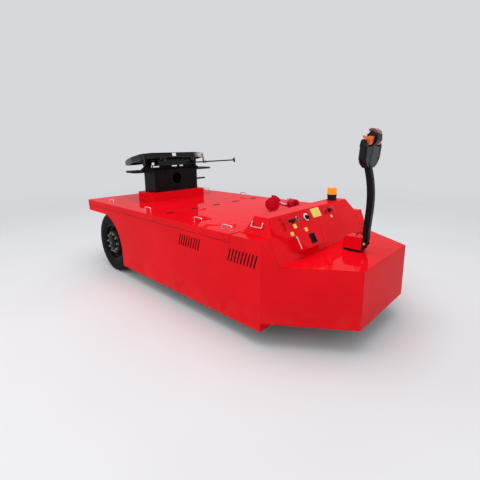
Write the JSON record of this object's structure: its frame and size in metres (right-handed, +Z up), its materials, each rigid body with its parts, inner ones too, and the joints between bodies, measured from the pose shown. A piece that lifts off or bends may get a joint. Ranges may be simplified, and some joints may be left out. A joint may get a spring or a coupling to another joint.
{
  "type": "electric airport baggage tug with fifth-wheel coupling",
  "caption": "Low walk-behind electric airport tug with a flat deck, a fifth-wheel coupling over the rear axle, a tapered nose and an upright steering tiller.",
  "frame": {"origin": "on the ground, under the centre of the overall length and width", "axes": "+X towards the nose, +Y to the vehicle's left, +Z up"},
  "size_m": [3.72, 1.74, 1.7039],
  "materials": {
    "red_paint": "glossy bright red coach enamel on sheet steel",
    "black_paint": "semi-gloss black paint on steel plate",
    "chassis_paint": "matt black chassis paint",
    "bright_steel": "polished and plated bar",
    "machined_steel": "turned steel with a thin oil film",
    "battery_case": "grey steel battery trough",
    "tyre_rubber": "black tread rubber",
    "drive_rubber": "solid black rubber tyre",
    "rim_paint": "satin black wheel paint",
    "amber_lens": "ribbed translucent amber lens",
    "black_plastic": "moulded black plastic",
    "red_plastic": "glossy red moulded plastic",
    "tiller_shell": "dark grey moulded tiller shell",
    "orange_plastic": "orange moulded thumb controls"
  },
  "bodies": {
    "chassis": {"side_panel_right": "red_paint", "side_panel_left": "red_paint", "front_wall": "red_paint", "arch_bulkhead": "chassis_paint", "rear_wall": "red_paint", "floor_pan": "chassis_paint", "rear_rails": "chassis_paint", "rear_axle": "chassis_paint", "deck_beams": "chassis_paint", "battery_block": "battery_case", "deck_plate_rear": "red_paint", "deck_plate_middle": "red_paint", "deck_plate_front": "red_paint", "deck_handles": "bright_steel", "front_cover": "red_paint", "console": "red_paint", "console_handles": "bright_steel", "console_controls": "black_plastic", "console_switches": "red_plastic", "emergency_stop": "red_plastic", "beacon_base": "black_plastic", "beacon_lens": "amber_lens", "deck_couplings": "red_plastic", "nose_side_right": "red_paint", "nose_side_left": "red_paint", "nose_front": "red_paint", "nose_top_right": "red_paint", "nose_top_left": "red_paint", "slope_panel": "red_paint", "steer_plate": "chassis_paint", "riser": "red_paint", "pedestal": "black_paint", "mount_plate": "black_paint", "rocker_brackets": "black_paint"},
    "wheel_right": {"tyre_right": "tyre_rubber", "rim_right": "rim_paint"},
    "wheel_left": {"tyre_left": "tyre_rubber", "rim_left": "rim_paint"},
    "steering": {"steering_fork": "chassis_paint", "drive_motor": "black_paint", "steering_cap": "red_paint", "tiller_bracket": "black_paint"},
    "drive_wheel": {"drive_tyre": "drive_rubber", "drive_hub": "machined_steel"},
    "tiller": {"tiller_arm": "black_paint", "tiller_head": "tiller_shell", "tiller_paddles": "orange_plastic", "tiller_button": "red_plastic"},
    "coupling": {"fifth_wheel": "black_paint", "lock_jaw": "machined_steel", "release_handle": "black_paint"},
    "charge_door": {"charge_door": "red_paint", "charge_door_handle": "bright_steel", "charge_grille": "black_plastic"}
  },
  "joints": [
    {"name": "wheel_right_roll", "type": "hinge", "parent": "chassis", "child": "wheel_right", "pos_m": [-1.26, -0.7455, 0.376], "axis": [0, 1, 0], "continuous": true},
    {"name": "wheel_left_roll", "type": "hinge", "parent": "chassis", "child": "wheel_left", "pos_m": [-1.26, 0.7455, 0.376], "axis": [0, 1, 0], "continuous": true},
    {"name": "steer", "type": "hinge", "parent": "chassis", "child": "steering", "pos_m": [1.575, 0, 0.15], "axis": [0, 0, 1], "range_deg": [-85, 85]},
    {"name": "drive_roll", "type": "hinge", "parent": "steering", "child": "drive_wheel", "pos_m": [1.575, 0, 0.15], "axis": [0, 1, 0], "continuous": true},
    {"name": "tiller_pull", "type": "hinge", "parent": "steering", "child": "tiller", "pos_m": [1.673, 0, 0.758], "axis": [0, 1, 0], "range_deg": [0, 75], "stiffness_Nm_per_rad": 90, "springref_deg": -28.65},
    {"name": "coupling_rock", "type": "hinge", "parent": "chassis", "child": "coupling", "pos_m": [-1.112, 0, 1.355], "axis": [0, 1, 0], "range_deg": [0, 20]},
    {"name": "charge_door_swing", "type": "hinge", "parent": "chassis", "child": "charge_door", "pos_m": [1.30052, -0.0787, 0.78155], "axis": [-0.4913, 0, 0.871], "range_deg": [0, 70]}
  ]
}
